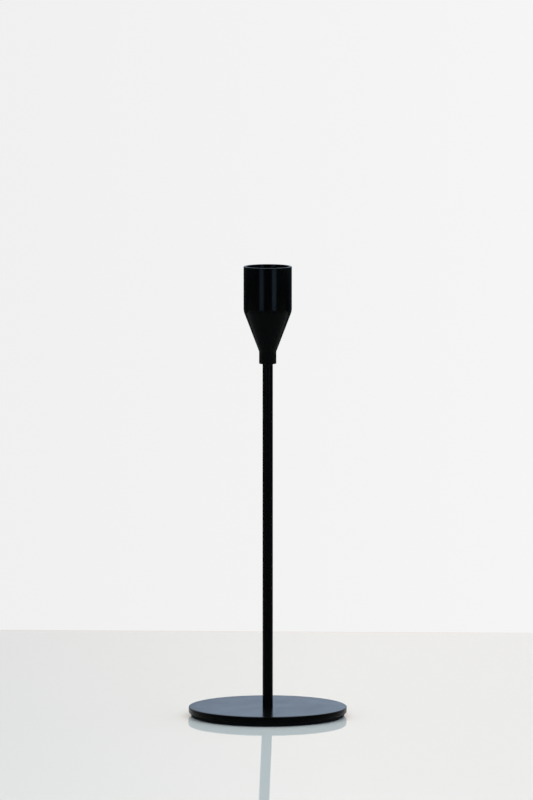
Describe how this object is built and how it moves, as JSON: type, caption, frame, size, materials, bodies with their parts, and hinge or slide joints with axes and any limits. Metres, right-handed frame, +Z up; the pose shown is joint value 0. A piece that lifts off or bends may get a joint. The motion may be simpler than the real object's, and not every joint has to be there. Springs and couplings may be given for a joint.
{
  "type": "taper candle holder",
  "caption": "Tall slim candlestick: a round weighted foot, a rod stem, and a tapered cup that screws on top and holds a household taper candle.",
  "frame": {"origin": "centre of the foot's underside, on the surface it stands on", "axes": "+Z up along the stem; the part is round about Z, so X and Y are free"},
  "size_m": [0.092, 0.092, 0.2623],
  "materials": {
    "powder_coat": "fine satin black powder coat",
    "sleeve_coat": "thin satin black lacquer",
    "rubber": "matt, moulded",
    "zinc_plate": "bright zinc plating",
    "nylon": "natural nylon"
  },
  "bodies": {
    "stand": {"base_pad": "rubber", "base_plate": "powder_coat", "base_screw": "zinc_plate", "stem": "powder_coat", "cup_stud": "zinc_plate"},
    "washer": {"cup_washer": "nylon"},
    "cup": {"cup_body": "powder_coat", "candle_sleeve": "sleeve_coat"}
  },
  "joints": [
    {"name": "cup_turn", "type": "hinge", "parent": "stand", "child": "washer", "pos_m": [0, 0, 0.2104], "axis": [0, 0, 1], "range_deg": [0, 4320]},
    {"name": "cup_rise", "type": "slide", "parent": "washer", "child": "cup", "axis": [0, 0, 1], "range_m": [0, 0.0084]}
  ],
  "couplings": [
    {"joint": "cup_turn", "follows": "cup_rise", "rad_per_m": 8976}
  ]
}
